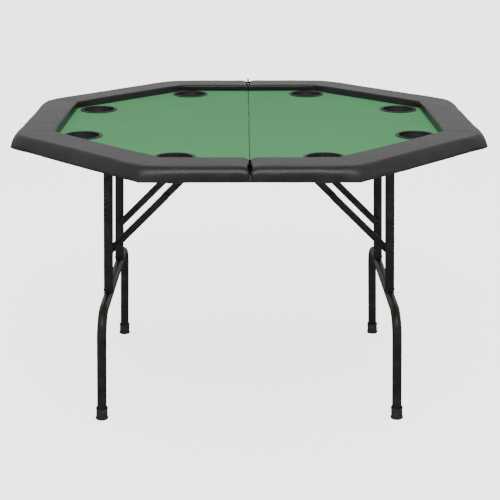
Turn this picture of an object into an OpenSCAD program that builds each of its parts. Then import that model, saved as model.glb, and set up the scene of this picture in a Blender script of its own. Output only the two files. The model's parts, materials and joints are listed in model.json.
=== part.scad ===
// Folding octagon poker table: two hinged halves on folding steel leg frames

/* [Table top] */
// Width of the padded octagon across its flats
top_w = 1210; // [1100:10:1300]
// Height of the table, floor to the top of the hinge knuckles
top_h = 760; // [740:1:780]
// Width of the padded rail
rail_w = 110; // [80:1:112]
// Height of the rail pad above the boards
pad_h = 22; // [14:0.5:23]
// Radius of the rail's outer top edge
pad_outer_r = 20; // [12:1:26]
// Radius of the rail's inner top edge
pad_inner_r = 10; // [6:1:12]
// Thickness of the boards
board_t = 10; // [9:0.5:12]
// Thickness of the felt with its foam backing
felt_t = 3; // [2:0.5:4]

/* [Cup holders] */
// Distance of each cup holder from the middle of the table
cup_circle_r = 464.6; // [458:0.2:468]
// Radius of the flange that rests on the felt
cup_flange_r = 52; // [50:0.5:54]
// Depth of a cup holder below the felt
cup_depth = 52; // [40:1:56]

/* [Legs] */
// Outer radius of the steel tubes
tube_r = 12.5; // [11:0.5:12.5]
// Wall of the steel tubes
tube_wall = 1.5; // [1:0.1:2]
// Distance of each leg pivot from the fold
pivot_x = 368; // [366:1:369]
// Outward lean of the leg frames, in degrees
leg_lean = 2.02; // [0:0.01:3]
// Half the distance between the two uprights of a leg frame
upright_y = 144; // [144:1:147]
// Half the distance between the two feet of a leg frame
foot_y = 305; // [280:1:330]
// Height of the bow's crossbar above the floor
crossbar_z = 290; // [270:1:320]
// Radius of the bends of the bow, at the middle of the tube
bow_bend_r = 65; // [50:1:80]
// Height of the rubber feet
foot_h = 32; // [25:1:40]

/* [Braces] */
// Distance from the leg pivot to the brace rivet, along the leg
brace_drop = 299; // [298:0.5:300]
// Distance of the brace brackets from the fold
brace_x = 78; // [77.5:0.5:79]
// Width of the flat brace links
link_w = 19; // [12:1:19]

/* [Hidden] */
$fn = 64;
tiny = 1;

// Levels of the top, from the hinge pin down
knuckle_r = 2.8;
fold_z = top_h - knuckle_r;
pad_top = fold_z - 0.2;
board_top = pad_top - pad_h;
board_bottom = board_top - board_t;
felt_top = board_top + felt_t;
wrap_t = 2;
pad_bottom = board_bottom - wrap_t;

// Distances of the plan's flats from the middle of the table
outer_d = top_w / 2;
inner_d = outer_d - rail_w;
board_d = outer_d - 9;
wrap_in_d = outer_d - 40;
pad_bottom_r = 4;

// Half gaps at the fold
board_gap = 1.75;
pad_gap = 3.2;

// Cup holders: corners of the playing field, top right one first
cup_near = cup_circle_r * sin(22.5);
cup_far = cup_circle_r * cos(22.5);
cup_flange_t = 3;
cup_wall = 2.5;
cup_bore_r = 43.5;
cup_taper = 3;
cup_hole_r = cup_bore_r + cup_wall + 1;
cup_rim_r = 1.5;

// Leg pivots
run_fit = 0.05;
pivot_drop = 18;
pivot_z = board_bottom - pivot_drop;
pivot_half = 160;
block_y = 102.5;
block_w = 25;
block_wall = 3;
block_base = 76;
plate_t = 2.5;
block_screw_x = 29;
leg_l = pivot_z / cos(leg_lean);
crossbar_l = (pivot_z - crossbar_z) / cos(leg_lean);
foot_sole = 6;
foot_top_r = 15.6;
foot_bottom_r = 16.8;
foot_lip = 3;

// Brace lanes, as distances from the middle of the table along the hinge
pin_r = 3;
head_r = 6;
link_t = 4;
upper_lane = 117.5;
lower_lane = 124.5;
bracket_in = 114;
bracket_t = 2.5;
bracket_l = 60;
bracket_y = 96;
bracket_screw_x = 20;
bracket_screw_y = 106;
bracket_head_r = 5;

// Brace geometry: both links lie in one line when the leg is open, and when it is shut
// the long one passes the bracket by the distance between rivet and bracket pin
rivet_x = pivot_x + brace_drop * sin(leg_lean);
rivet_z = pivot_z - brace_drop * cos(leg_lean);
brace_run = rivet_x - brace_x;
brace_rise = pivot_z - rivet_z;
brace_l = sqrt(brace_run * brace_run + brace_rise * brace_rise);
brace_angle = atan2(brace_rise, brace_run);
shut_offset = brace_x - (pivot_x - brace_drop);
lower_l = (brace_l + shut_offset) / 2;
upper_l = (brace_l - shut_offset) / 2;

// Hinges in the rail gap
hinge_y = 566;
hinge_l = 56;
hinge_bands = 5;
band_l = hinge_l / hinge_bands;
band_gap = 0.4;
leaf_in = 0.55;
leaf_t = board_gap - leaf_in;
leaf_bottom = board_bottom + 1;
leaf_top = fold_z - knuckle_r - 0.2;
hinge_pin_r = 1.5;
leaf_screw_y = 14;
leaf_screw_z = board_bottom + board_t / 2;
leaf_screw_r = 1.4;
leaf_head_r = 2.4;
leaf_head_t = 0.9;
leaf_screw_l = 16;

// Wood screws of the underside
screw_r = 1.9;
screw_head_r = 4;
screw_head_t = 2;
screw_bite = 9;
screw_fit = 0.1;

// Side is -1 for the left half and 1 for the right; row is -1 for the front and 1 for the rear
left = -1;
right = 1;
front = -1;
rear = 1;
ROWS = [front, rear];

// Points of an arc of radius r about a centre
function arc(x, y, r, from, to, steps = 8) = [
  for (i = [0:steps])
    let (a = from + (to - from) * i / steps)
    [x + r * cos(a), y + r * sin(a)]
];

// Octagon whose flats lie at distance d
module octagon(d) {
  rotate(22.5)
    circle(r = d / cos(22.5), $fn = 8);
}

// Part of a plan that belongs to one side, clear of the fold by gap
module half_plan(side, gap) {
  intersection() {
    children();
    translate([side > 0 ? gap : -top_w, -top_w])
      square([top_w - gap, 2 * top_w]);
  }
}

// Place for the four cup holders of one side
module at_cups(side) {
  for (row = ROWS) {
    translate([side * cup_near, row * cup_far, 0]) children();
    translate([side * cup_far, row * cup_near, 0]) children();
  }
}

// Cylinder that lies along Y between two distances from the middle, on the given row
module cross_pin(row, from, to, r) {
  translate([0, row * (from + to) / 2, 0])
    rotate([90, 0, 0])
      cylinder(r = r, h = to - from, center = true);
}

// Cylinder that lies along X from a distance outwards, on the given side
module side_pin(side, from, to, r) {
  translate([side * (from + to) / 2, 0, 0])
    rotate([0, 90, 0])
      cylinder(r = r, h = to - from, center = true);
}

// Places of the screws that hold the hinge leaves of one side
module at_leaf_screws(rows) {
  for (row = rows, step = [-1, 1])
    translate([0, row * hinge_y + step * leaf_screw_y, leaf_screw_z]) children();
}

// Places of the screws that hold the pivot blocks and brace brackets of one side
module at_underside_screws(side) {
  for (row = ROWS, step = [-1, 1]) {
    translate([side * pivot_x + step * block_screw_x, row * block_y, board_bottom - plate_t])
      children();
    translate([side * brace_x + step * bracket_screw_x, row * bracket_screw_y, board_bottom - plate_t])
      children();
  }
}

// Frame of a leg: origin on the pivot axis, -Z along the leg
module leg_frame(side) {
  translate([side * pivot_x, 0, pivot_z])
    rotate([0, -side * leg_lean, 0]) children();
}

// Frame of a brace: origin at a distance from the leg rivet, +X towards the bracket
module brace_frame(side, along) {
  translate([side * (rivet_x - along * cos(brace_angle)), 0, rivet_z + along * sin(brace_angle)])
    rotate([0, side > 0 ? brace_angle - 180 : -brace_angle, 0]) children();
}

module board(side) {
  color("#b08d57")
    difference() {
      translate([0, 0, board_bottom])
        linear_extrude(board_t)
          half_plan(side, board_gap) octagon(board_d);
      at_cups(side)
        translate([0, 0, board_bottom - tiny])
          cylinder(r = cup_hole_r, h = board_t + 2 * tiny);
      at_leaf_screws(ROWS)
        side_pin(side, 0, board_gap + leaf_screw_l, leaf_screw_r + screw_fit);
      at_underside_screws(side)
        cylinder(r = screw_r + screw_fit, h = plate_t + screw_bite + screw_fit);
    }
}

module felt(side) {
  color("#6ea376")
    difference() {
      translate([0, 0, board_top])
        linear_extrude(felt_t)
          half_plan(side, board_gap) octagon(inner_d);
      at_cups(side)
        translate([0, 0, board_top - tiny])
          cylinder(r = cup_hole_r, h = felt_t + 2 * tiny);
    }
}

// Section of the rail pad: it lies on the board, wraps its edge and tucks under it
pad_section = concat(
  [[inner_d, board_top], [board_d, board_top], [board_d, board_bottom]],
  [[wrap_in_d, board_bottom], [wrap_in_d, pad_bottom]],
  arc(outer_d - pad_bottom_r, pad_bottom + pad_bottom_r, pad_bottom_r, -90, 0, 4),
  arc(outer_d - pad_outer_r, pad_top - pad_outer_r, pad_outer_r, 0, 90),
  arc(inner_d + pad_inner_r, pad_top - pad_inner_r, pad_inner_r, 90, 180, 6)
);

// One straight run of the rail, cut to its mitres; its flat faces +X
module rail_run() {
  intersection() {
    translate([0, outer_d / 2, 0])
      rotate([90, 0, 0])
        linear_extrude(outer_d)
          polygon(pad_section);
    translate([0, 0, pad_bottom - tiny])
      linear_extrude(pad_top - pad_bottom + 2 * tiny)
        polygon([[0, 0], [top_w, -top_w * tan(22.5)], [top_w, top_w * tan(22.5)]]);
  }
}

module rail_pad(side) {
  color("#3b3a3a")
    intersection() {
      union() {
        for (turn = [-90:45:90])
          rotate(side > 0 ? turn : 180 - turn) rail_run();
      }
      translate([0, 0, pad_bottom - tiny])
        linear_extrude(pad_top - pad_bottom + 2 * tiny)
          half_plan(side, pad_gap) octagon(top_w);
    }
}

module cup_holder(x, y) {
  cup_floor = felt_top - cup_depth;
  flange_top = felt_top + cup_flange_t;
  color("#2b2b2d")
    translate([x, y, 0])
      rotate_extrude($fn = 96)
        polygon(concat(
          [[0, cup_floor], [cup_bore_r + cup_wall - cup_taper, cup_floor]],
          [[cup_bore_r + cup_wall, felt_top], [cup_flange_r, felt_top]],
          arc(cup_flange_r - cup_rim_r, flange_top - cup_rim_r, cup_rim_r, 0, 90, 4),
          arc(cup_bore_r + cup_rim_r, flange_top - cup_rim_r, cup_rim_r, 90, 180, 4),
          [[cup_bore_r - cup_taper, cup_floor + cup_wall], [0, cup_floor + cup_wall]]
        ));
}

// Block with a bore that the pivot tube turns in
module pivot_block(side, row) {
  color("#333333")
    difference() {
      translate([side * pivot_x, row * block_y, pivot_z])
        rotate([90, 0, 0])
          linear_extrude(block_w, center = true)
            difference() {
              union() {
                circle(r = tube_r + block_wall);
                translate([-tube_r - block_wall, 0])
                  square([2 * (tube_r + block_wall), pivot_drop]);
                translate([-block_base / 2, pivot_drop - plate_t])
                  square([block_base, plate_t]);
              }
              circle(r = tube_r + run_fit);
            }
      at_underside_screws(side)
        translate([0, 0, -tiny]) cylinder(r = screw_r + screw_fit, h = plate_t + 2 * tiny);
    }
}

// Tube that lies along Y in the pivot blocks
module pivot_tube(side) {
  color("#2e2e2e")
    leg_frame(side)
      rotate([90, 0, 0])
        difference() {
          cylinder(r = tube_r, h = 2 * pivot_half, center = true);
          cylinder(r = tube_r - tube_wall, h = 2 * pivot_half + tiny, center = true);
        }
}

module upright(side, row) {
  color("#2e2e2e")
    leg_frame(side)
      difference() {
        translate([0, row * upright_y, -crossbar_l])
          difference() {
            cylinder(r = tube_r, h = crossbar_l);
            translate([0, 0, -tiny])
              cylinder(r = tube_r - tube_wall, h = crossbar_l + 2 * tiny);
          }
        cross_pin(row, upright_y - 2 * tube_r, upright_y + 2 * tube_r, tube_r);
        translate([0, 0, -crossbar_l])
          cross_pin(row, upright_y - 2 * tube_r, upright_y + 2 * tube_r, tube_r);
        translate([0, 0, -brace_drop])
          cross_pin(row, upright_y - 2 * tube_r, upright_y + 2 * tube_r, pin_r + run_fit);
      }
}

// Solid rod along the middle of the bow: crossbar, two bends and two shanks
module bow_rod(r, past_end) {
  bar_half = foot_y - bow_bend_r;
  shank_l = leg_l - foot_sole - crossbar_l - bow_bend_r;
  translate([0, 0, -crossbar_l])
    rotate([90, 0, 0]) cylinder(r = r, h = 2 * bar_half, center = true);
  for (row = ROWS) {
    translate([0, row * bar_half, -crossbar_l - bow_bend_r])
      rotate([0, -90, 0])
        rotate([0, 0, row > 0 ? 0 : -90])
          rotate_extrude(angle = 90)
            translate([bow_bend_r, 0]) circle(r = r);
    translate([0, row * foot_y, -crossbar_l - bow_bend_r - shank_l - past_end])
      cylinder(r = r, h = shank_l + past_end);
  }
}

module leg_bow(side) {
  color("#2e2e2e")
    leg_frame(side)
      difference() {
        bow_rod(tube_r, 0);
        bow_rod(tube_r - tube_wall, tiny);
      }
}

// Rubber cap, cut level with the floor
module foot(side, row) {
  color("#1d1d1d")
    difference() {
      leg_frame(side)
        translate([0, row * foot_y, -leg_l])
          rotate_extrude()
            polygon([
              [0, -tiny], [foot_bottom_r, -tiny], [foot_bottom_r, foot_lip],
              [foot_top_r, foot_lip + 2], [foot_top_r, foot_h - 1], [foot_top_r - 1, foot_h],
              [tube_r + run_fit, foot_h], [tube_r + run_fit, foot_sole], [0, foot_sole]
            ]);
      translate([-top_w, -top_w, -2 * foot_h])
        cube([2 * top_w, 2 * top_w, 2 * foot_h]);
    }
}

// Flat bar with round ends and a hole at its start
module link_bar(l, row, lane, far_hole) {
  translate([0, row * (lane + link_t / 2), 0])
    rotate([90, 0, 0])
      linear_extrude(link_t, center = true)
        difference() {
          union() {
            circle(d = link_w);
            translate([l, 0]) circle(d = link_w);
            translate([0, -link_w / 2]) square([l, link_w]);
          }
          circle(r = pin_r + run_fit);
          if (far_hole) translate([l, 0]) circle(r = pin_r + run_fit);
        }
}

module lower_link(side, row) {
  color("#2e2e2e")
    brace_frame(side, 0) link_bar(lower_l, row, lower_lane, true);
}

// The upper link ends in the upset head of the middle rivet
module upper_link(side, row) {
  color("#2e2e2e")
    brace_frame(side, brace_l)
      rotate([0, 180, 0]) {
        link_bar(upper_l, row, upper_lane, false);
        translate([upper_l, 0, 0])
          cross_pin(row, upper_lane - 2, upper_lane, head_r);
      }
}

// Rivets that pass through the uprights and carry the lower links
module leg_rivets(side) {
  color("#2e2e2e")
    brace_frame(side, 0)
      for (row = ROWS) {
        cross_pin(row, lower_lane - 2, upright_y + tube_r + 2, pin_r);
        cross_pin(row, lower_lane - 2, lower_lane, head_r);
        cross_pin(row, lower_lane + link_t + 0.1, upright_y - tube_r - 0.1, head_r);
        cross_pin(row, upright_y + tube_r + 0.1, upright_y + tube_r + 2, head_r);
      }
}

// Rivets of the middle joints, held in the lower links
module mid_rivets(side) {
  color("#2e2e2e")
    brace_frame(side, lower_l)
      for (row = ROWS) {
        cross_pin(row, upper_lane + link_t + 0.2, lower_lane, head_r);
        cross_pin(row, lower_lane, lower_lane + link_t, pin_r);
        cross_pin(row, lower_lane + link_t, lower_lane + link_t + 2, head_r);
      }
}

module brace_bracket(side, row) {
  color("#333333")
    difference() {
      translate([side * brace_x, 0, 0]) {
        translate([0, row * (bracket_in + bracket_t / 2), pivot_z])
          rotate([90, 0, 0])
            linear_extrude(bracket_t, center = true)
              difference() {
                union() {
                  circle(r = 10);
                  translate([-10, 0]) square([20, pivot_drop - tiny]);
                }
                circle(r = pin_r + run_fit);
              }
        translate([0, row * (bracket_y + bracket_in + bracket_t) / 2, board_bottom - plate_t / 2])
          cube([bracket_l, bracket_in + bracket_t - bracket_y, plate_t], center = true);
      }
      at_underside_screws(side)
        translate([0, 0, -tiny]) cylinder(r = screw_r + screw_fit, h = plate_t + 2 * tiny);
    }
}

module bracket_pins(side) {
  color("#2e2e2e")
    translate([side * brace_x, 0, pivot_z])
      for (row = ROWS) {
        cross_pin(row, bracket_in - 1.5, upper_lane + link_t + 0.85, pin_r);
        cross_pin(row, bracket_in - 1.5, bracket_in, bracket_head_r);
        cross_pin(row, upper_lane + link_t + 0.1, upper_lane + link_t + 0.85, bracket_head_r);
      }
}

// Leaf with its knuckles; the left leaf owns the even bands and the right leaf the odd ones
module hinge_leaf(side, row) {
  leaf_mid_x = side * (leaf_in + leaf_t / 2);
  color("#6f6f70")
    difference() {
      union() {
        translate([leaf_mid_x, row * hinge_y, (leaf_bottom + leaf_top) / 2])
          cube([leaf_t, hinge_l, leaf_top - leaf_bottom], center = true);
        for (band = [side > 0 ? 1 : 0:2:hinge_bands - 1])
          translate([0, row * hinge_y + (band + 0.5) * band_l - hinge_l / 2, fold_z]) {
            cross_pin(1, (band_gap - band_l) / 2, (band_l - band_gap) / 2, knuckle_r);
            translate([leaf_mid_x, 0, -(fold_z - leaf_top + tiny) / 2])
              cube([leaf_t, band_l - band_gap, fold_z - leaf_top + tiny], center = true);
          }
      }
      translate([0, row * hinge_y, fold_z])
        cross_pin(1, -hinge_l, hinge_l, hinge_pin_r + run_fit);
      at_leaf_screws([row]) {
        side_pin(side, 0, leaf_in + leaf_head_t, leaf_head_r + screw_fit);
        side_pin(side, 0, board_gap + tiny, leaf_screw_r + screw_fit);
      }
    }
}

module hinge_pin(row) {
  color("#8a8a8a")
    translate([0, row * hinge_y, fold_z])
      cross_pin(1, -hinge_l / 2, hinge_l / 2, hinge_pin_r);
}

module hinge_screws(side) {
  color("#8a8a8a")
    at_leaf_screws(ROWS) {
      side_pin(side, leaf_in, leaf_in + leaf_head_t, leaf_head_r);
      side_pin(side, leaf_in, board_gap + leaf_screw_l - 0.5, leaf_screw_r);
    }
}

module underside_screws(side) {
  color("#8a8a8a")
    at_underside_screws(side) {
      cylinder(r = screw_r, h = plate_t + screw_bite);
      translate([0, 0, -screw_head_t]) cylinder(r = screw_head_r, h = screw_head_t);
    }
}

board(left);  // left_board
board(right);  // right_board
felt(left);  // left_felt
felt(right);  // right_felt
rail_pad(left);  // left_rail_pad
rail_pad(right);  // right_rail_pad
cup_holder(cup_far, cup_near);  // cup_holder_1
cup_holder(cup_near, cup_far);  // cup_holder_2
cup_holder(-cup_near, cup_far);  // cup_holder_3
cup_holder(-cup_far, cup_near);  // cup_holder_4
cup_holder(-cup_far, -cup_near);  // cup_holder_5
cup_holder(-cup_near, -cup_far);  // cup_holder_6
cup_holder(cup_near, -cup_far);  // cup_holder_7
cup_holder(cup_far, -cup_near);  // cup_holder_8
pivot_tube(left);  // left_pivot_tube
pivot_tube(right);  // right_pivot_tube
upright(left, front);  // left_front_upright
upright(left, rear);  // left_rear_upright
upright(right, front);  // right_front_upright
upright(right, rear);  // right_rear_upright
leg_bow(left);  // left_leg_bow
leg_bow(right);  // right_leg_bow
foot(left, front);  // left_front_foot
foot(left, rear);  // left_rear_foot
foot(right, front);  // right_front_foot
foot(right, rear);  // right_rear_foot
pivot_block(left, front);  // left_front_pivot_block
pivot_block(left, rear);  // left_rear_pivot_block
pivot_block(right, front);  // right_front_pivot_block
pivot_block(right, rear);  // right_rear_pivot_block
brace_bracket(left, front);  // left_front_brace_bracket
brace_bracket(left, rear);  // left_rear_brace_bracket
brace_bracket(right, front);  // right_front_brace_bracket
brace_bracket(right, rear);  // right_rear_brace_bracket
lower_link(left, front);  // left_front_lower_link
lower_link(left, rear);  // left_rear_lower_link
lower_link(right, front);  // right_front_lower_link
lower_link(right, rear);  // right_rear_lower_link
upper_link(left, front);  // left_front_upper_link
upper_link(left, rear);  // left_rear_upper_link
upper_link(right, front);  // right_front_upper_link
upper_link(right, rear);  // right_rear_upper_link
leg_rivets(left);  // left_leg_rivets
leg_rivets(right);  // right_leg_rivets
mid_rivets(left);  // left_mid_rivets
mid_rivets(right);  // right_mid_rivets
bracket_pins(left);  // left_bracket_pins
bracket_pins(right);  // right_bracket_pins
hinge_leaf(left, front);  // left_front_hinge_leaf
hinge_leaf(left, rear);  // left_rear_hinge_leaf
hinge_leaf(right, front);  // right_front_hinge_leaf
hinge_leaf(right, rear);  // right_rear_hinge_leaf
hinge_pin(front);  // front_hinge_pin
hinge_pin(rear);  // rear_hinge_pin
hinge_screws(left);  // left_hinge_screws
hinge_screws(right);  // right_hinge_screws
underside_screws(left);  // left_underside_screws
underside_screws(right);  // right_underside_screws
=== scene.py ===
import json
import math

import bmesh
import bpy
from mathutils import Matrix, Vector, noise

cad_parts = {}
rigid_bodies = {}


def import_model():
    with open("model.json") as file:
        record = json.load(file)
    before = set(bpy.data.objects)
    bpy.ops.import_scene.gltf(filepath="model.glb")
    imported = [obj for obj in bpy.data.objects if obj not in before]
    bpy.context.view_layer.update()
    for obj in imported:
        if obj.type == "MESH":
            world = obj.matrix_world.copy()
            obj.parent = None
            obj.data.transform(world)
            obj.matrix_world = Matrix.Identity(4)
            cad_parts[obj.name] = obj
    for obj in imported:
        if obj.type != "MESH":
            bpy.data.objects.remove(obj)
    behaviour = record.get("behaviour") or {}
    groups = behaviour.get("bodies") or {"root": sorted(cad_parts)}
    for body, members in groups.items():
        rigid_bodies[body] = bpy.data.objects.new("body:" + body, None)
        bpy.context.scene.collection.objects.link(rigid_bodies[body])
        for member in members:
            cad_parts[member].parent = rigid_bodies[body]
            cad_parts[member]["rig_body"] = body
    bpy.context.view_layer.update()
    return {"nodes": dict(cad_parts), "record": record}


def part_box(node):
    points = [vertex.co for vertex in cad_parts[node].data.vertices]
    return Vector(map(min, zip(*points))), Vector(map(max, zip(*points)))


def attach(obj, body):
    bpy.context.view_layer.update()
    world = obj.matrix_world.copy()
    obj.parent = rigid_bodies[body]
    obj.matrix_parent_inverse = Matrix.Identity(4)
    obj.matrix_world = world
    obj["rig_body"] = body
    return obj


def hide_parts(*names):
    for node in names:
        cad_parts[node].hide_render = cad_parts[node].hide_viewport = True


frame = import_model()
nodes = frame["nodes"]
print("frame loaded:", len(nodes), "nodes")

sides = {"left": -1, "right": 1}
rows = {"front": -1, "rear": 1}
mm = 0.001

# ---- camera, floor and light ----

view = {"place": (-0.0134, -3.0696, 1.3557), "pitch": 17.77, "yaw": 0.308, "lens": 82.27}
studio = {
    "floorSize": 34, "floorColour": (0.9, 0.9, 0.9), "floorGlow": 2.4,
    "sky": (1, 1, 1), "skyFade": (-0.3, 0.15, 0.06, 0.6),
    "sunStrength": 0.85, "sunSpread": 65, "sunTilt": 20,
    # name: place, aimed at, width, height, watts
    "lamps": {"front": ((0, -2.35, 3.5), (0, -0.5, 0.72), 3.4, 1.5, 95)},
}


def addCamera():
    camera = bpy.data.objects.new("camera", bpy.data.cameras.new("camera"))
    camera.data.lens = view["lens"]
    camera.data.sensor_width = 36
    camera.location = view["place"]
    camera.rotation_euler = (math.radians(90 - view["pitch"]), 0, math.radians(-view["yaw"]))
    bpy.context.collection.objects.link(camera)
    bpy.context.scene.camera = camera


def addLamp(name, place, aim, width, height, watts):
    lamp = bpy.data.lights.new(name, "AREA")
    lamp.shape = "RECTANGLE"
    lamp.size, lamp.size_y, lamp.energy = width, height, watts
    holder = bpy.data.objects.new(name, lamp)
    holder.location = place
    holder.rotation_euler = (Vector(aim) - Vector(place)).to_track_quat("-Z", "Y").to_euler()
    bpy.context.collection.objects.link(holder)


def addStudio():
    world = bpy.data.worlds.new("studio")
    world.use_nodes = True
    sky = world.node_tree.nodes["Background"]
    sky.inputs["Color"].default_value = (*studio["sky"], 1)
    # the light from below the horizon is dim
    link, add = world.node_tree.links.new, world.node_tree.nodes.new
    direction = add("ShaderNodeTexCoord")
    parts = add("ShaderNodeSeparateXYZ")
    fade = add("ShaderNodeMapRange")
    for socket, value in zip(("From Min", "From Max", "To Min", "To Max"), studio["skyFade"]):
        fade.inputs[socket].default_value = value
    link(direction.outputs["Generated"], parts.inputs["Vector"])
    link(parts.outputs["Z"], fade.inputs["Value"])
    link(fade.outputs["Result"], sky.inputs["Strength"])
    bpy.context.scene.world = world
    for name, (place, aim, width, height, watts) in studio["lamps"].items():
        addLamp(name, place, aim, width, height, watts)
    sun = bpy.data.lights.new("sun", "SUN")
    sun.energy, sun.angle = studio["sunStrength"], math.radians(studio["sunSpread"])
    holder = bpy.data.objects.new("sun", sun)
    holder.rotation_euler = (math.radians(-studio["sunTilt"]), 0, 0)
    # an even wash of light that makes no highlight of its own
    holder.visible_glossy = False
    bpy.context.collection.objects.link(holder)
    bm = bmesh.new()
    bmesh.ops.create_grid(bm, x_segments=1, y_segments=1, size=studio["floorSize"] / 2)
    mesh = bpy.data.meshes.new("floor")
    bm.to_mesh(mesh)
    bm.free()
    floor = bpy.data.objects.new("floor", mesh)
    paint = bpy.data.materials.new("floorPaint")
    paint.use_nodes = True
    sockets = paint.node_tree.nodes["Principled BSDF"].inputs
    sockets["Base Color"].default_value = (*studio["floorColour"], 1)
    sockets["Roughness"].default_value = 0.9
    sockets["Emission Color"].default_value = (1, 1, 1, 1)
    sockets["Emission Strength"].default_value = studio["floorGlow"]
    mesh.materials.append(paint)
    floor.visible_glossy = False
    bpy.context.collection.objects.link(floor)


addCamera()
addStudio()
print("camera, floor and light are set")

# ---- materials ----


class Value:
    def __init__(self, shader, socket):
        self.shader, self.socket = shader, socket

    def maths(self, operation, first, second):
        return self.shader.node("Math", {"operation": operation}, {0: first, 1: second})

    def __add__(self, other):
        return self.maths("ADD", self, other)

    def __mul__(self, other):
        return self.maths("MULTIPLY", self, other)

    __radd__ = __add__
    __rmul__ = __mul__


class Shader:
    def __init__(self, name, **fixed):
        self.material = bpy.data.materials.new(name)
        self.material.use_nodes = True
        self.tree = self.material.node_tree
        self.surface = self.tree.nodes["Principled BSDF"]
        for socket, value in fixed.items():
            self.feed(self.surface.inputs[socket.replace("_", " ")], value)

    def feed(self, socket, value):
        if isinstance(value, Value):
            self.tree.links.new(value.socket, socket)
        elif socket.type == "RGBA":
            socket.default_value = (*value[:3], 1)
        else:
            socket.default_value = value

    def node(self, kind, settings=None, sockets=None, out=0):
        made = self.tree.nodes.new("ShaderNode" + kind)
        for name, value in (settings or {}).items():
            if name == "stops":
                first, last = made.color_ramp.elements
                first.position, first.color = value[0][0], (*value[0][1], 1)
                last.position, last.color = value[-1][0], (*value[-1][1], 1)
                for place, colour in value[1:-1]:
                    made.color_ramp.elements.new(place).color = (*colour, 1)
            else:
                setattr(made, name, value)
        for name, value in (sockets or {}).items():
            self.feed(made.inputs[name], value)
        return Value(self, made.outputs[out])

    def place(self, scale=(1, 1, 1)):
        point = self.node("TexCoord", out="Object")
        return self.node("Mapping", None, {"Vector": point, "Scale": scale})

    def cloud(self, size, detail=2, scale=(1, 1, 1), roughness=0.5):
        return self.node("TexNoise", None, {
            "Vector": self.place(scale), "Scale": 1 / size, "Detail": detail, "Roughness": roughness})

    def cells(self, size, feature="F1", scale=(1, 1, 1)):
        return self.node("TexVoronoi", {"feature": feature}, {
            "Vector": self.place(scale), "Scale": 1 / size})

    def band(self, value, low, high, start=0.0, end=1.0):
        return self.node("MapRange", None, {
            "Value": value, "From Min": low, "From Max": high, "To Min": start, "To Max": end})

    def blend(self, mask, first, second):
        return self.node("Mix", {"data_type": "RGBA"}, {0: mask, 6: first, 7: second}, out=2)

    def relief(self, height, depth, strength=1.0):
        bump = self.node("Bump", None, {"Height": height, "Distance": depth, "Strength": strength})
        self.feed(self.surface.inputs["Normal"], bump)

    def show(self, colour=None, roughness=None):
        if colour is not None:
            self.feed(self.surface.inputs["Base Color"], colour)
        if roughness is not None:
            self.feed(self.surface.inputs["Roughness"], roughness)
        return self.material


def railLeather():
    look = {"dark": (0.009, 0.0086, 0.0083), "light": (0.0145, 0.0134, 0.0126), "grain": 1.3 * mm}
    s = Shader("railLeather", Specular_IOR_Level=0.38)
    pebbles = s.cells(look["grain"], "DISTANCE_TO_EDGE")
    creases = s.band(pebbles, 0.0, 0.12)
    soft = s.cloud(60 * mm, 3)
    fine = s.cloud(0.5 * mm, 2)
    s.relief(creases + fine * 0.35, 0.12 * mm, 0.55)
    colour = s.blend(s.band(soft, 0.35, 0.7), look["dark"], look["light"])
    return s.show(colour, s.band(soft, 0.3, 0.75, 0.25, 0.32) + creases * -0.03)


def feltCloth():
    look = {"green": (0.079, 0.297, 0.119), "deep": (0.066, 0.262, 0.102)}
    s = Shader("feltCloth", Sheen_Weight=0.05, Sheen_Roughness=0.5, Specular_IOR_Level=0.08)
    fibres = s.cloud(0.8 * mm, 4, roughness=0.7)
    flecks = s.cloud(2.2 * mm, 2, (1, 0.35, 1))
    patches = s.cloud(120 * mm, 2)
    s.relief(fibres + flecks * 0.5, 0.25 * mm, 0.7)
    tone = s.band(fibres * 0.5 + patches * 0.3 + flecks * 0.2, 0.35, 0.65)
    return s.show(s.blend(tone, look["deep"], look["green"]), 0.95)


def powderCoat():
    look = {"black": (0.006, 0.006, 0.0065), "worn": (0.011, 0.011, 0.011)}
    s = Shader("powderCoat", Specular_IOR_Level=0.34)
    peel = s.cloud(1.1 * mm, 2)
    wear = s.cloud(35 * mm, 4)
    s.relief(peel, 0.06 * mm, 0.5)
    shine = s.band(wear, 0.3, 0.7, 0.3, 0.42)
    return s.show(s.blend(s.band(wear, 0.45, 0.75), look["black"], look["worn"]), shine)


def cupPlastic():
    look = {"black": (0.012, 0.012, 0.014), "haze": (0.026, 0.025, 0.026)}
    s = Shader("cupPlastic", Specular_IOR_Level=0.3)
    texture = s.cloud(0.7 * mm, 3)
    rubs = s.cloud(9 * mm, 5, (1, 3, 1))
    s.relief(texture, 0.05 * mm, 0.4)
    shine = s.band(rubs, 0.3, 0.7, 0.28, 0.4)
    return s.show(s.blend(s.band(rubs, 0.5, 0.8), look["black"], look["haze"]), shine)


def footRubber():
    s = Shader("footRubber", Specular_IOR_Level=0.25)
    grit = s.cloud(0.9 * mm, 4)
    dust = s.cloud(14 * mm, 4)
    s.relief(grit, 0.12 * mm, 0.5)
    return s.show(s.blend(s.band(dust, 0.5, 0.8), (0.010, 0.010, 0.010), (0.022, 0.021, 0.020)), 0.72)


def plainBoard():
    look = {"base": (0.30, 0.19, 0.105), "dark": (0.19, 0.115, 0.06)}
    s = Shader("plainBoard", Specular_IOR_Level=0.25)
    chips = s.cloud(1.6 * mm, 5, (1, 1.6, 1), 0.7)
    haze = s.cloud(90 * mm, 3)
    s.relief(chips, 0.1 * mm, 0.4)
    return s.show(s.blend(s.band(chips * 0.7 + haze * 0.3, 0.4, 0.62), look["dark"], look["base"]), 0.78)


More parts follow.
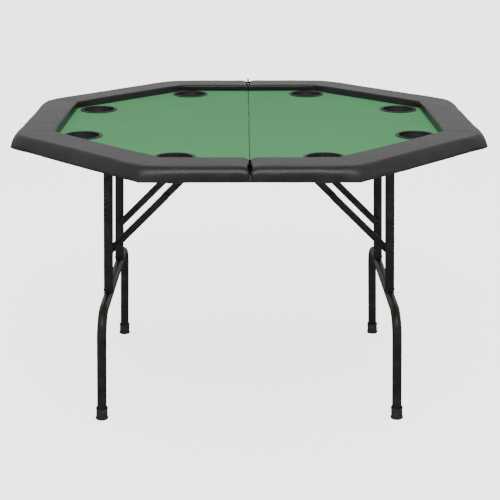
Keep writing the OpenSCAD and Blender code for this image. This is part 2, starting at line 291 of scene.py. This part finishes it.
def metal(name, colour, worn, roughness, edge=(1, 1, 1)):
    s = Shader(name, Metallic=1.0, Specular_Tint=edge)
    brushing = s.cloud(1.2 * mm, 3, (1, 0.08, 1))
    stains = s.cloud(8 * mm, 4)
    s.relief(brushing, 0.02 * mm, 0.4)
    shine = s.band(brushing, 0.3, 0.7, roughness, roughness + 0.14)
    return s.show(s.blend(s.band(stains, 0.45, 0.75), colour, worn), shine)


finishes = {
    "rail": railLeather(), "felt": feltCloth(), "frame": powderCoat(), "cup": cupPlastic(),
    "foot": footRubber(), "board": plainBoard(),
    "hinge": metal("darkPlate", (0.022, 0.022, 0.023), (0.012, 0.012, 0.012), 0.42, (0.12, 0.12, 0.12)),
    "fastener": metal("zincPlate", (0.55, 0.55, 0.53), (0.38, 0.38, 0.37), 0.3),
}
finishes["fitting"] = finishes["frame"]
slotOf = {part["node"]: part["material_slot"] for part in frame["record"]["subparts"]}
for name, node in nodes.items():
    node.data.materials.clear()
    node.data.materials.append(finishes["hinge" if "hinge_pin" in name else slotOf[name]])
print("materials made:", len(finishes))

# ---- helpers for new pieces ----


def addPiece(name, bm, finish, body, replaced=(), smooth=math.radians(35)):
    bmesh.ops.recalc_face_normals(bm, faces=bm.faces)
    mesh = bpy.data.meshes.new(name)
    bm.to_mesh(mesh)
    bm.free()
    piece = bpy.data.objects.new(name, mesh)
    bpy.context.collection.objects.link(piece)
    mesh.materials.append(finishes[finish])
    mesh.shade_smooth()
    if smooth:
        mesh.set_sharp_from_angle(angle=smooth)
    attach(piece, body)
    if replaced:
        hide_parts(*replaced)
    return piece


def addOutline(bm, points, rounds=(), closed=False):
    # a line through (across, up) points; rounds gives point number, radius and segments
    verts = [bm.verts.new((x, 0, z)) for x, z in points]
    pairs = list(zip(verts, verts[1:])) + ([(verts[-1], verts[0])] if closed else [])
    for pair in pairs:
        bm.edges.new(pair)
    for number, radius, segments in rounds:
        bmesh.ops.bevel(
            bm, geom=[verts[number]], offset=radius, offset_type="OFFSET", segments=segments,
            profile=0.5, affect="VERTICES", material=-1)


def turn(points, rounds=(), steps=48, closed=False, place=Matrix.Identity(4)):
    # a shape turned about Z from an outline, then put in place
    bm = bmesh.new()
    addOutline(bm, points, rounds, closed)
    bmesh.ops.spin(
        bm, geom=bm.verts[:] + bm.edges[:], cent=(0, 0, 0), axis=(0, 0, 1), dvec=(0, 0, 0),
        angle=2 * math.pi, steps=steps, use_merge=True, use_duplicate=False)
    bmesh.ops.remove_doubles(bm, verts=bm.verts, dist=1e-6)
    bmesh.ops.transform(bm, matrix=place, verts=bm.verts)
    return bm


def gather(parts):
    whole = bmesh.new()
    for part in parts:
        mesh = bpy.data.meshes.new("part")
        bmesh.ops.recalc_face_normals(part, faces=part.faces)
        part.to_mesh(mesh)
        part.free()
        whole.from_mesh(mesh)
        bpy.data.meshes.remove(mesh)
    return whole


def apply(piece):
    # the piece's modifiers, made part of its mesh
    graph = bpy.context.evaluated_depsgraph_get()
    mesh = bpy.data.meshes.new_from_object(piece.evaluated_get(graph))
    piece.modifiers.clear()
    piece.data = mesh


# ---- padded rails ----

railLow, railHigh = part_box("right_rail_pad")
pinLow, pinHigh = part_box("front_hinge_pin")
foldHeight = (pinLow.z + pinHigh.z) / 2
feltLow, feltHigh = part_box("right_felt")
boardLow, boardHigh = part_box("right_board")
rail = {
    "outer": railHigh.x - 1.4 * mm, "top": railHigh.z + 0.6 * mm, "bottom": railLow.z - 1.6 * mm,
    "inner": feltHigh.x - 1.6 * mm, "gap": railLow.x + 0.4 * mm,
    "outerRound": 24 * mm, "innerRound": 7 * mm, "bottomRound": 4.5 * mm, "tuck": 38 * mm,
    "spacing": 7 * mm, "stepsPerCorner": 32,
    "seamDepth": 0.7 * mm, "seamWidth": 2.2 * mm,
    "endGap": 0.02 * mm, "endLength": 32 * mm, "endTurn": 10 * mm,
    "endDrop": 10.5 * mm, "endLift": 7 * mm, "endInset": 6.5 * mm,
    "topEase": 2.5 * mm, "topClear": 0.15 * mm,
    "hingeFrom": 536 * mm,
    "puffPressure": 3.5, "puffCap": 3.0 * mm,
    "waveHeight": 1.3 * mm, "waveLength": 85 * mm,
    "cornerReach": 70 * mm, "cornerRadius": 185 * mm, "cornerFrom": 45 * mm,
}


def addRailSection(bm):
    boardEdge = boardHigh.x + 0.4 * mm
    points = [
        (rail["inner"], boardHigh.z + 0.3 * mm), (rail["inner"], rail["top"]),
        (rail["outer"], rail["top"]), (rail["outer"], rail["bottom"]),
        (rail["outer"] - rail["tuck"], rail["bottom"]),
        (rail["outer"] - rail["tuck"], boardLow.z - 0.3 * mm),
        (boardEdge, boardLow.z - 0.3 * mm), (boardEdge, boardHigh.z + 0.3 * mm),
    ]
    rounds = [(1, rail["innerRound"], 6), (2, rail["outerRound"], 9), (3, rail["bottomRound"], 4)]
    addOutline(bm, points, rounds, closed=True)
    for edge in bm.edges[:]:
        cuts = int(edge.calc_length() / rail["spacing"])
        if cuts:
            bmesh.ops.subdivide_edges(bm, edges=[edge], cuts=cuts)


def distanceOut(point):
    # how far out a point lies, measured square to its side of the octagon, and its angle from that side
    angle = math.degrees(math.atan2(point.y, point.x))
    offSide = math.radians((angle + 22.5) % 45 - 22.5)
    return math.hypot(point.x, point.y) * math.cos(offSide), offSide


def isHidden(point):
    out = distanceOut(point)[0]
    inHeight = boardLow.z - 1 * mm < point.z < boardHigh.z + 1 * mm
    onBoard = inHeight and out < boardHigh.x + 1 * mm
    return onBoard or point.z < rail["bottom"] + 0.2 * mm


def addRail(sideName, side):
    bm = bmesh.new()
    addRailSection(bm)
    start = Matrix.Rotation(math.radians(-90), 4, "Z")
    bmesh.ops.transform(bm, matrix=start, verts=bm.verts)
    steps = rail["stepsPerCorner"] * 8
    bmesh.ops.spin(
        bm, geom=bm.verts[:] + bm.edges[:], cent=(0, 0, 0), axis=(0, 0, 1), dvec=(0, 0, 0),
        angle=math.pi, steps=steps, use_merge=False, use_duplicate=False)
    # the round sweep becomes half an octagon when each ring moves out to its straight side
    for vert in bm.verts:
        angle = math.degrees(math.atan2(vert.co.y, vert.co.x))
        offSide = math.radians((angle + 22.5) % 45 - 22.5)
        vert.co.x /= math.cos(offSide)
        vert.co.y /= math.cos(offSide)
    reach = 60 * mm
    for vert in bm.verts:
        if vert.co.x < reach:
            # beside the hinge and outside the board's edge the cover closes the gap
            out = distanceOut(vert.co)[0]
            gap = rail["gap"] if rail["hingeFrom"] < out < boardHigh.x + 2 * mm else rail["endGap"]
            vert.co.x = gap + max(0, vert.co.x) * (reach - gap) / reach
    for back in (0.8, 1.8, 3.2, 5, 7.5, 10, 13, 16.5, 20, 24):
        cut(bm, (rail["gap"] + back * mm, 0, 0), (1, 0, 0))
    for corner in (-67.5, -22.5, 22.5, 67.5):
        along = Vector((math.cos(math.radians(corner)), math.sin(math.radians(corner)), 0))
        across = along.cross(Vector((0, 0, 1)))
        for off in (-5.5, -2.6, -1.2, 1.2, 2.6, 5.5):
            cutNear(bm, across * off * mm, across, along)
    ends = [edge for edge in bm.edges if edge.is_boundary]
    bmesh.ops.holes_fill(bm, edges=ends)
    roundEnds(bm)
    bmesh.ops.triangulate(bm, faces=[face for face in bm.faces if len(face.verts) > 4])
    if side < 0:
        bmesh.ops.scale(bm, vec=(-1, 1, 1), verts=bm.verts)
    return addPiece(
        sideName + "Rail", bm, "rail", sideName + "_top", [sideName + "_rail_pad"],
        smooth=math.radians(65))


def cut(bm, point, normal):
    bmesh.ops.bisect_plane(
        bm, geom=bm.verts[:] + bm.edges[:] + bm.faces[:], plane_co=point, plane_no=normal, dist=1e-6)


def cutNear(bm, point, normal, along):
    # cuts only the faces on the corner that lies along a direction
    near = [face for face in bm.faces if face.calc_center_median().normalized().dot(along) > 0.9]
    edges = {edge for face in near for edge in face.edges}
    verts = {vert for face in near for vert in face.verts}
    bmesh.ops.bisect_plane(
        bm, geom=list(verts) + list(edges) + near, plane_co=point, plane_no=normal, dist=1e-6)


def roundEnds(bm):
    # the cover is drawn over the pad's end: the top falls, the lower edge lifts and the face turns in
    for vert in bm.verts:
        back = abs(vert.co.x) - rail["endGap"]
        if back > rail["endLength"] or isHidden(vert.co):
            continue
        share = max(0, 1 - back / rail["endLength"])
        fall = 1 - math.sqrt(max(0, 1 - share ** 2.2))
        out = distanceOut(vert.co)[0]
        middle = (rail["top"] + rail["bottom"]) / 2
        if vert.co.z > middle:
            vert.co.z -= rail["endDrop"] * fall * (vert.co.z - middle) / (rail["top"] - middle)
        elif out > boardHigh.x:
            vert.co.z += rail["endLift"] * fall * (middle - vert.co.z) / (middle - rail["bottom"])
        if out > boardHigh.x:
            near = max(0, 1 - back / rail["endTurn"])
            inset = rail["endInset"] * (1 - math.sqrt(1 - min(1, near) ** 2))
            vert.co.y -= math.copysign(inset, vert.co.y)


def addEndCover(sideName, side):
    # the cover tucked between the two boards, beside the hinge
    parts = []
    for row in rows.values():
        low = Vector((rail["endGap"], feltHigh.x - 1 * mm, boardLow.z - 1 * mm))
        high = Vector((boardLow.x - 0.05 * mm, rail["hingeFrom"] + 1 * mm, boardHigh.z + 1 * mm))
        part = bmesh.new()
        middle, size = (low + high) / 2, high - low
        bmesh.ops.create_cube(part, size=1, matrix=Matrix.Translation(
            (side * middle.x, row * middle.y, middle.z)) @ Matrix.Diagonal((*size, 1)))
        parts.append(part)
    addPiece(sideName + "EndCover", gather(parts), "rail", sideName + "_top")


def puff(piece):
    # the cover swells between its seams: a short cloth run with pressure, and no point moves far
    rest = [vert.co.copy() for vert in piece.data.vertices]
    held = piece.vertex_groups.new(name="held")
    for vert in piece.data.vertices:
        out, offSide = distanceOut(vert.co)
        seam = abs(abs(offSide) - math.radians(22.5)) * out
        weight = 0.0
        if isHidden(vert.co) or abs(vert.co.x) < rail["gap"] + 5 * mm:
            weight = 1.0
        elif seam < 4 * mm:
            weight = 0.85
        if weight:
            held.add([vert.index], weight, "REPLACE")
    cloth = piece.modifiers.new("cover", "CLOTH")
    cloth.settings.quality = 5
    cloth.settings.mass = 0.4
    cloth.settings.tension_stiffness = 18
    cloth.settings.compression_stiffness = 12
    cloth.settings.bending_stiffness = 2
    cloth.settings.use_pressure = True
    cloth.settings.uniform_pressure_force = rail["puffPressure"]
    cloth.settings.vertex_group_mass = "held"
    cloth.settings.effector_weights.gravity = 0
    cloth.collision_settings.use_collision = False
    scene = bpy.context.scene
    for step in range(1, 17):
        scene.frame_set(step)
    graph = bpy.context.evaluated_depsgraph_get()
    swollen = piece.evaluated_get(graph).to_mesh()
    moved = [vert.co.copy() for vert in swollen.vertices]
    piece.evaluated_get(graph).to_mesh_clear()
    piece.modifiers.clear()
    scene.frame_set(1)
    for vert, before, after in zip(piece.data.vertices, rest, moved):
        move = after - before
        if move.length > rail["puffCap"]:
            move *= rail["puffCap"] / move.length
        vert.co = before + move


def settle(piece, side):
    # slow waves in the cover, pulled in at the mitre seams and kept from moving across at the fold
    mesh = piece.data
    normals = [vert.normal.copy() for vert in mesh.vertices]
    for vert, normal in zip(mesh.vertices, normals):
        if isHidden(vert.co):
            continue
        out, offSide = distanceOut(vert.co)
        seam = abs(abs(offSide) - math.radians(22.5)) * out
        point = vert.co / rail["waveLength"]
        wave = noise.noise(point + Vector((side * 7, 3, 1))) + 0.4 * noise.noise(point * 2.3)
        faceShare = min(1, max(0, (out - rail["inner"]) / 0.03))
        height = rail["waveHeight"] * wave * (0.45 + 0.55 * faceShare)
        height -= rail["seamDepth"] * math.exp(-(seam / rail["seamWidth"]) ** 2)
        move = normal * height
        if abs(vert.co.x) < 12 * mm:
            move.x = 0
        vert.co += move
        # the octagon's corners are rounder at the top than at the stapled lower edge
        if seam < rail["cornerReach"] and out > rail["outer"] - rail["cornerFrom"]:
            rise = min(1, max(0, (vert.co.z - rail["bottom"]) / (rail["top"] - rail["bottom"])))
            share = (out - rail["outer"] + rail["cornerFrom"]) / rail["cornerFrom"]
            inward = (rail["cornerReach"] - seam) ** 2 / (2 * rail["cornerRadius"]) * rise * share
            vert.co.x *= 1 - inward / out
            vert.co.y *= 1 - inward / out
        # the two rails only touch when the top is folded
        ease = rail["topEase"]
        over = vert.co.z - foldHeight + ease
        if over > 0:
            vert.co.z = foldHeight - ease * math.exp(-over / ease) - rail["topClear"]


for sideName, side in sides.items():
    railPiece = addRail(sideName, side)
    puff(railPiece)
    settle(railPiece, side)
    addEndCover(sideName, side)
print("rails made")

# ---- felt ----

felt = {
    "reach": 8 * mm, "lip": 0.7 * mm, "meet": 0.02 * mm, "round": 2.4 * mm,
    "cell": 8 * mm, "wave": 0.15 * mm,
}
cupBoxes = {number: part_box(f"cup_holder_{number}") for number in range(1, 9)}
cupCentres = {number: (low + high) / 2 for number, (low, high) in cupBoxes.items()}
cupRadius = (cupBoxes[1][1].x - cupBoxes[1][0].x) / 2


def addFelt(sideName, side):
    low, high = feltLow, feltHigh
    width, length = high.x - felt["lip"], high.y - low.y
    bm = bmesh.new()
    across, along = int(width / felt["cell"]), int(length / felt["cell"])
    bmesh.ops.create_grid(bm, x_segments=across, y_segments=along, size=0.5)
    bmesh.ops.scale(bm, vec=(width, length, 1), verts=bm.verts)
    bmesh.ops.translate(bm, vec=(felt["lip"] + width / 2, 0, high.z), verts=bm.verts)
    cut(bm, (low.x + 1e-5, 0, 0), (1, 0, 0))
    for back in (0.05, 0.2, 0.45, 1.2, 1.8, 2.4):
        cut(bm, (felt["lip"] + back * mm, 0, 0), (1, 0, 0))
    for turnBy in (-45, 45):
        normal = Vector((math.cos(math.radians(turnBy)), math.sin(math.radians(turnBy)), 0))
        bmesh.ops.bisect_plane(
            bm, geom=bm.verts[:] + bm.edges[:] + bm.faces[:], plane_co=normal * (high.x - 0.1 * mm),
            plane_no=normal, clear_outer=True)
    for vert in bm.verts:
        vert.co.z += felt["wave"] * noise.noise(vert.co / 0.09)
    made = bmesh.ops.extrude_face_region(bm, geom=bm.faces[:])
    lower = [item for item in made["geom"] if isinstance(item, bmesh.types.BMVert)]
    thick = high.z - low.z
    bmesh.ops.translate(bm, vec=(0, 0, -thick), verts=lower)
    # the strip past the board's edge turns down into the fold
    strip = [
        face for face in bm.faces
        if face.calc_center_median().x < low.x and face.calc_center_median().z < low.z + 0.5 * mm]
    made = bmesh.ops.extrude_face_region(bm, geom=strip)
    lower = [item for item in made["geom"] if isinstance(item, bmesh.types.BMVert)]
    bmesh.ops.delete(bm, geom=strip, context="FACES")
    bmesh.ops.translate(bm, vec=(0, 0, -felt["reach"]), verts=lower)
    for vert in lower:
        if vert.co.x < felt["lip"] + 0.01 * mm:
            vert.co.x = felt["meet"]
    # the edge of the fold is round
    for vert in bm.verts:
        back = felt["round"] - (vert.co.x - felt["lip"])
        if back > 0 and vert.co.z > high.z - 0.5 * mm:
            vert.co.z -= felt["round"] - math.sqrt(max(0, felt["round"] ** 2 - back ** 2))
    if side < 0:
        bmesh.ops.scale(bm, vec=(-1, 1, 1), verts=bm.verts)
    piece = addPiece(sideName + "Felt", bm, "felt", sideName + "_top", [sideName + "_felt"])
    for centre in cupCentres.values():
        if centre.x * side > 0:
            makeHole(piece, centre, cupRadius - 5.5 * mm)
    return piece


def makeHole(piece, centre, radius):
    bm = bmesh.new()
    bmesh.ops.create_cone(
        bm, cap_ends=True, segments=64, radius1=radius, radius2=radius, depth=0.1,
        matrix=Matrix.Translation((centre.x, centre.y, feltHigh.z)))
    mesh = bpy.data.meshes.new("cutter")
    bm.to_mesh(mesh)
    bm.free()
    cutter = bpy.data.objects.new("cutter", mesh)
    bpy.context.collection.objects.link(cutter)
    hole = piece.modifiers.new("hole", "BOOLEAN")
    hole.operation, hole.solver, hole.object = "DIFFERENCE", "EXACT", cutter
    apply(piece)
    bpy.data.objects.remove(cutter)


for sideName, side in sides.items():
    addFelt(sideName, side)
print("felt made")

# ---- cup holders ----

cup = {"wall": 2.2 * mm, "taper": 3 * mm, "flange": 3 * mm, "lipHeight": 0.9 * mm, "steps": 96}


def addCupHolder(number):
    low, high = cupBoxes[number]
    centre = cupCentres[number]
    bore = cupRadius - 8.5 * mm
    foot = bore - cup["taper"]
    top, seat = high.z, high.z - cup["flange"]
    floor = low.z
    points = [
        (0, floor + 1.0 * mm), (foot * 0.55, floor + 1.0 * mm), (foot * 0.58, floor),
        (foot + cup["wall"], floor),
        (bore + cup["wall"], seat), (cupRadius, seat), (cupRadius, top - 0.6 * mm),
        (cupRadius - 3 * mm, top - cup["lipHeight"]), (bore + 3.2 * mm, top - cup["lipHeight"]),
        (bore + 1.6 * mm, top), (bore, top - 1.4 * mm), (bore - 0.5 * mm, seat - 6 * mm),
        (bore - 1.1 * mm, seat - 7 * mm), (foot, floor + 5 * mm), (foot - 2.6 * mm, floor + cup["wall"]),
        (foot * 0.62, floor + cup["wall"]), (foot * 0.58, floor + cup["wall"] + 0.8 * mm),
        (0, floor + cup["wall"] + 0.8 * mm),
    ]
    rounds = [
        (3, 2 * mm, 4), (5, 0.4 * mm, 2), (6, 0.8 * mm, 3), (7, 0.8 * mm, 2), (8, 0.5 * mm, 2),
        (9, 1.0 * mm, 4), (10, 0.7 * mm, 3), (13, 1.5 * mm, 3), (14, 1.0 * mm, 3)]
    bm = turn(points, rounds, cup["steps"], place=Matrix.Translation((centre.x, centre.y, 0)))
    body = "right_top" if centre.x > 0 else "left_top"
    addPiece(f"cupHolder{number}", bm, "cup", body, [f"cup_holder_{number}"])


for number in cupCentres:
    addCupHolder(number)
print("cup holders made")

# ---- legs: rubber feet, plugs and welds ----

tube = {"radius": 12.5 * mm, "bore": 10.8 * mm}
foot = {"radius": 16.8 * mm, "lip": 4 * mm, "waist": 15.2 * mm, "rim": 15.8 * mm}
weld = {"radius": 1.3 * mm, "points": 44, "ripple": 0.14}


def pivotOf(side):
    low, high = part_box("right_pivot_tube")
    return Vector((side * (low.x + high.x) / 2, 0, (low.z + high.z) / 2))


def leanOf(side):
    # the leg frame's own axes: origin at its pivot, -Z along the leg
    low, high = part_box("right_front_foot")
    pivot = pivotOf(1)
    lean = math.atan2((low.x + high.x) / 2 - pivot.x, pivot.z)
    return Matrix.Translation(pivotOf(side)) @ Matrix.Rotation(-side * lean, 4, "Y")


def addFoot(sideName, side, rowName):
    node = f"{sideName}_{rowName}_foot"
    low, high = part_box(node)
    legFrame = leanOf(side)
    centre = legFrame.inverted() @ ((low + high) / 2)
    centre = Vector((0, centre.y, 0))
    sole = (legFrame.inverted() @ Vector(((low.x + high.x) / 2, 0, 0))).z
    height = 32 * mm
    bore = tube["radius"] + 0.1 * mm
    points = [
        (0, 0), (foot["radius"], 0), (foot["radius"], foot["lip"]), (foot["waist"], foot["lip"] + 2.5 * mm),
        (foot["waist"], height - 7 * mm), (foot["rim"], height - 5 * mm), (foot["rim"], height),
        (bore, height), (bore, 6 * mm), (0, 6 * mm),
    ]
    rounds = [
        (1, 0.8 * mm, 3), (2, 1.2 * mm, 3), (3, 1.0 * mm, 2), (4, 0.8 * mm, 2), (5, 0.8 * mm, 2),
        (6, 1.2 * mm, 4)]
    place = legFrame @ Matrix.Translation((0, centre.y, sole))
    bm = turn(points, rounds, 48, place=place)
    for vert in bm.verts:
        vert.co.z = max(vert.co.z, low.z)
    name = f"{sideName}{rowName.capitalize()}Foot"
    addPiece(name, bm, "foot", sideName + "_leg", [node])


def addPlugs(sideName, side):
    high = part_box(sideName + "_pivot_tube")[1]
    parts = []
    for row in rows.values():
        points = [
            (0, -8 * mm), (tube["bore"], -8 * mm), (tube["bore"], 0), (tube["radius"], 0),
            (tube["radius"], 1.2 * mm), (6 * mm, 2.6 * mm), (0, 3.0 * mm)]
        pivot = pivotOf(side)
        facing = Matrix.Rotation(math.radians(-90 * row), 4, "X")
        place = Matrix.Translation((pivot.x, row * high.y, pivot.z)) @ facing
        parts.append(turn(points, [(4, 0.8 * mm, 3), (5, 3 * mm, 3)], 36, place=place))
    addPiece(sideName + "TubePlugs", gather(parts), "foot", sideName + "_leg")


def weldBead(legFrame, depth, row, upright):
    # the line where an upright meets a cross tube of the same size, swept with a small uneven bead
    r = tube["radius"] - 0.2 * mm
    rise = -1 if depth == 0 else 1
    count = weld["points"]
    path = []
    for number in range(count):
        angle = 2 * math.pi * number / count
        path.append(Vector((
            (r + 0.3 * mm) * math.cos(angle), row * upright + (r + 0.3 * mm) * math.sin(angle),
            -depth + rise * r * abs(math.sin(angle)))))
    bm = bmesh.new()
    rings = []
    for number, point in enumerate(path):
        ahead = (path[(number + 1) % count] - path[number - 1]).normalized()
        size = weld["radius"] * (1 + weld["ripple"] * math.sin(number * 2.4))
        made = bmesh.ops.create_circle(
            bm, segments=8, radius=size,
            matrix=Matrix.Translation(point) @ ahead.to_track_quat("Z", "X").to_matrix().to_4x4())
        rings.append(made["verts"])
    for number in range(count):
        edges = [
            edge for ring in (rings[number - 1], rings[number])
            for edge in {e for v in ring for e in v.link_edges if e.other_vert(v) in ring}]
        bmesh.ops.bridge_loops(bm, edges=edges)
    bmesh.ops.transform(bm, matrix=legFrame, verts=bm.verts)
    return bm


def addWelds(sideName, side):
    legFrame = leanOf(side)
    upLow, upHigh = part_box(sideName + "_front_upright")
    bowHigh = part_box(sideName + "_leg_bow")[1]
    upright = -(upLow.y + upHigh.y) / 2
    crossbar = -(legFrame.inverted() @ Vector((0, 0, bowHigh.z - tube["radius"]))).z
    parts = [weldBead(legFrame, depth, row, upright) for depth in (0, crossbar) for row in rows.values()]
    addPiece(sideName + "Welds", gather(parts), "frame", sideName + "_leg", smooth=None)


for sideName, side in sides.items():
    for rowName in rows:
        addFoot(sideName, side, rowName)
    addPlugs(sideName, side)
    addWelds(sideName, side)
print("legs finished")

# ---- CAD parts with softened edges ----

edgeWidth = {"link": 0.7 * mm, "brace_bracket": 0.5 * mm, "block": 0.8 * mm, "leaf": 0.2 * mm}


def soften(node, width):
    # a merged copy of the CAD part whose sharp edges are rounded a little
    bm = bmesh.new()
    bm.from_mesh(nodes[node].data)
    bmesh.ops.remove_doubles(bm, verts=bm.verts, dist=2e-6)
    bmesh.ops.dissolve_limit(bm, angle_limit=math.radians(1), verts=bm.verts, edges=bm.edges)
    name = "".join(word.capitalize() for word in node.split("_"))
    body = nodes[node]["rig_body"]
    piece = addPiece(name[0].lower() + name[1:], bm, slotOf[node], body, [node])
    bevel = piece.modifiers.new("edges", "BEVEL")
    bevel.width, bevel.segments, bevel.limit_method = width, 2, "ANGLE"
    bevel.angle_limit = math.radians(40)
    bevel.use_clamp_overlap = True
    apply(piece)
    piece.data.shade_smooth()
    piece.data.set_sharp_from_angle(angle=math.radians(40))
    return piece


for node in sorted(nodes):
    for kind, width in edgeWidth.items():
        if kind in node:
            soften(node, width)
print("edges softened")

# ---- fasteners ----


def starRecess(radius, steps):
    # a screw head with a cross-shaped driver recess, facing +Z, its seat at the origin
    bm = bmesh.new()
    height = radius * 0.55
    arm, slotHalf = radius * 0.5, radius * 0.12
    outline = []
    for quarter in range(4):
        spin = Matrix.Rotation(math.radians(90 * quarter), 3, "Z")
        for x, y in ((arm, -slotHalf), (arm, slotHalf), (slotHalf, slotHalf)):
            outline.append(bm.verts.new(spin @ Vector((x, y, height))))
    crossEdges = [bm.edges.new((outline[i - 1], outline[i])) for i in range(len(outline))]
    ring = bmesh.ops.create_circle(
        bm, segments=steps, radius=radius * 0.62, matrix=Matrix.Translation((0, 0, height)))["verts"]
    ringEdges = [edge for edge in bm.edges if edge.verts[0] in ring and edge.verts[1] in ring]
    bmesh.ops.bridge_loops(bm, edges=crossEdges + ringEdges)
    bottom = bm.faces.new(outline)
    sunk = bmesh.ops.extrude_face_region(bm, geom=[bottom])
    bmesh.ops.delete(bm, geom=[bottom], context="FACES_ONLY")
    low = [item for item in sunk["geom"] if isinstance(item, bmesh.types.BMVert)]
    bmesh.ops.translate(bm, vec=(0, 0, -height * 0.6), verts=low)
    edges = ringEdges
    for size, z in ((0.85, 0.86), (0.97, 0.55), (1.0, 0.2), (0.97, 0.0)):
        made = bmesh.ops.extrude_edge_only(bm, edges=edges)["geom"]
        verts = [item for item in made if isinstance(item, bmesh.types.BMVert)]
        edges = [item for item in made if isinstance(item, bmesh.types.BMEdge)]
        for vert in verts:
            flat = Vector((vert.co.x, vert.co.y, 0)).normalized() * radius * size
            vert.co = (flat.x, flat.y, height * z)
    bmesh.ops.contextual_create(bm, geom=edges)
    return bm


def addScrews(sideName, side, kind, head, facing):
    # one head and shank for each loose solid of the CAD group
    node = f"{sideName}_{kind}_screws"
    source = bmesh.new()
    source.from_mesh(nodes[node].data)
    bmesh.ops.remove_doubles(source, verts=source.verts, dist=2e-6)
    parts = []
    for low, high in islands(source):
        centre = (low + high) / 2
        if facing == "down":
            seat = Vector((centre.x, centre.y, low.z + head["height"]))
            aim, length = Vector((0, 0, -1)), high.z - seat.z
        else:
            inner = min(abs(low.x), abs(high.x))
            seat = Vector((side * (inner + head["height"]), centre.y, centre.z))
            aim, length = Vector((-side, 0, 0)), max(abs(low.x), abs(high.x)) - abs(seat.x)
        place = Matrix.Translation(seat) @ aim.to_track_quat("Z", "Y").to_matrix().to_4x4()
        top = starRecess(head["radius"], 24)
        flatten = Matrix.Scale(head["height"] / (head["radius"] * 0.55), 4, (0, 0, 1))
        bmesh.ops.transform(top, matrix=place @ flatten, verts=top.verts)
        shank = turn(
            [(0, 0), (head["shank"], 0), (head["shank"], -length * 0.75), (0, -length)],
            steps=16, place=place)
        parts += [top, shank]
    source.free()
    addPiece(
        f"{sideName}{kind.capitalize()}Screws", gather(parts), "fastener", sideName + "_top",
        [node])


def islands(bm):
    # the lowest and highest corner of each loose solid
    seen, found = set(), []
    for first in bm.verts:
        if first in seen:
            continue
        group, queue = [], [first]
        seen.add(first)
        while queue:
            vert = queue.pop()
            group.append(vert.co.copy())
            for edge in vert.link_edges:
                other = edge.other_vert(vert)
                if other not in seen:
                    seen.add(other)
                    queue.append(other)
        found.append((
            Vector([min(co[axis] for co in group) for axis in range(3)]),
            Vector([max(co[axis] for co in group) for axis in range(3)])))
    return found


panHead = {"radius": 4 * mm, "height": 2 * mm, "shank": 1.9 * mm}
flatHead = {"radius": 2.4 * mm, "height": 0.9 * mm, "shank": 1.4 * mm}
for sideName, side in sides.items():
    addScrews(sideName, side, "underside", panHead, "down")
    addScrews(sideName, side, "hinge", flatHead, "in")
print("screws made")

# ---- staples along the tucked edge of the rail cover ----

staple = {"crown": 11 * mm, "wire": 0.9 * mm, "spacing": 42 * mm, "inset": 6 * mm}


def addStaples(sideName, side):
    bm = bmesh.new()
    out = rail["outer"] - rail["tuck"] + staple["inset"]
    halfSide = out * math.tan(math.radians(22.5))
    for turnBy in (-90, -45, 0, 45, 90):
        count = int(2 * (halfSide - 12 * mm) / staple["spacing"])
        for number in range(count + 1):
            along = (number - count / 2) * staple["spacing"]
            place = Matrix.Rotation(math.radians(turnBy), 4, "Z") @ Matrix.Translation(
                (out, along, rail["bottom"] - staple["wire"] * 0.3))
            middle = place.to_translation()
            if middle.x < rail["gap"] + 10 * mm:
                continue
            made = bmesh.ops.create_cube(bm, size=1, matrix=place @ Matrix.Rotation(
                math.radians(8 * math.sin(number * 2.1)), 4, "Z") @ Matrix.Diagonal(
                (staple["wire"], staple["crown"], staple["wire"] * 0.6, 1)))
            edges = {edge for vert in made["verts"] for edge in vert.link_edges}
            bmesh.ops.bevel(
                bm, geom=list(edges), offset=0.15 * mm, offset_type="OFFSET", segments=1, profile=0.5,
                affect="EDGES", material=-1)
    if side < 0:
        bmesh.ops.scale(bm, vec=(-1, 1, 1), verts=bm.verts)
    addPiece(sideName + "Staples", bm, "fastener", sideName + "_top")


for sideName, side in sides.items():
    addStaples(sideName, side)
print("staples made")
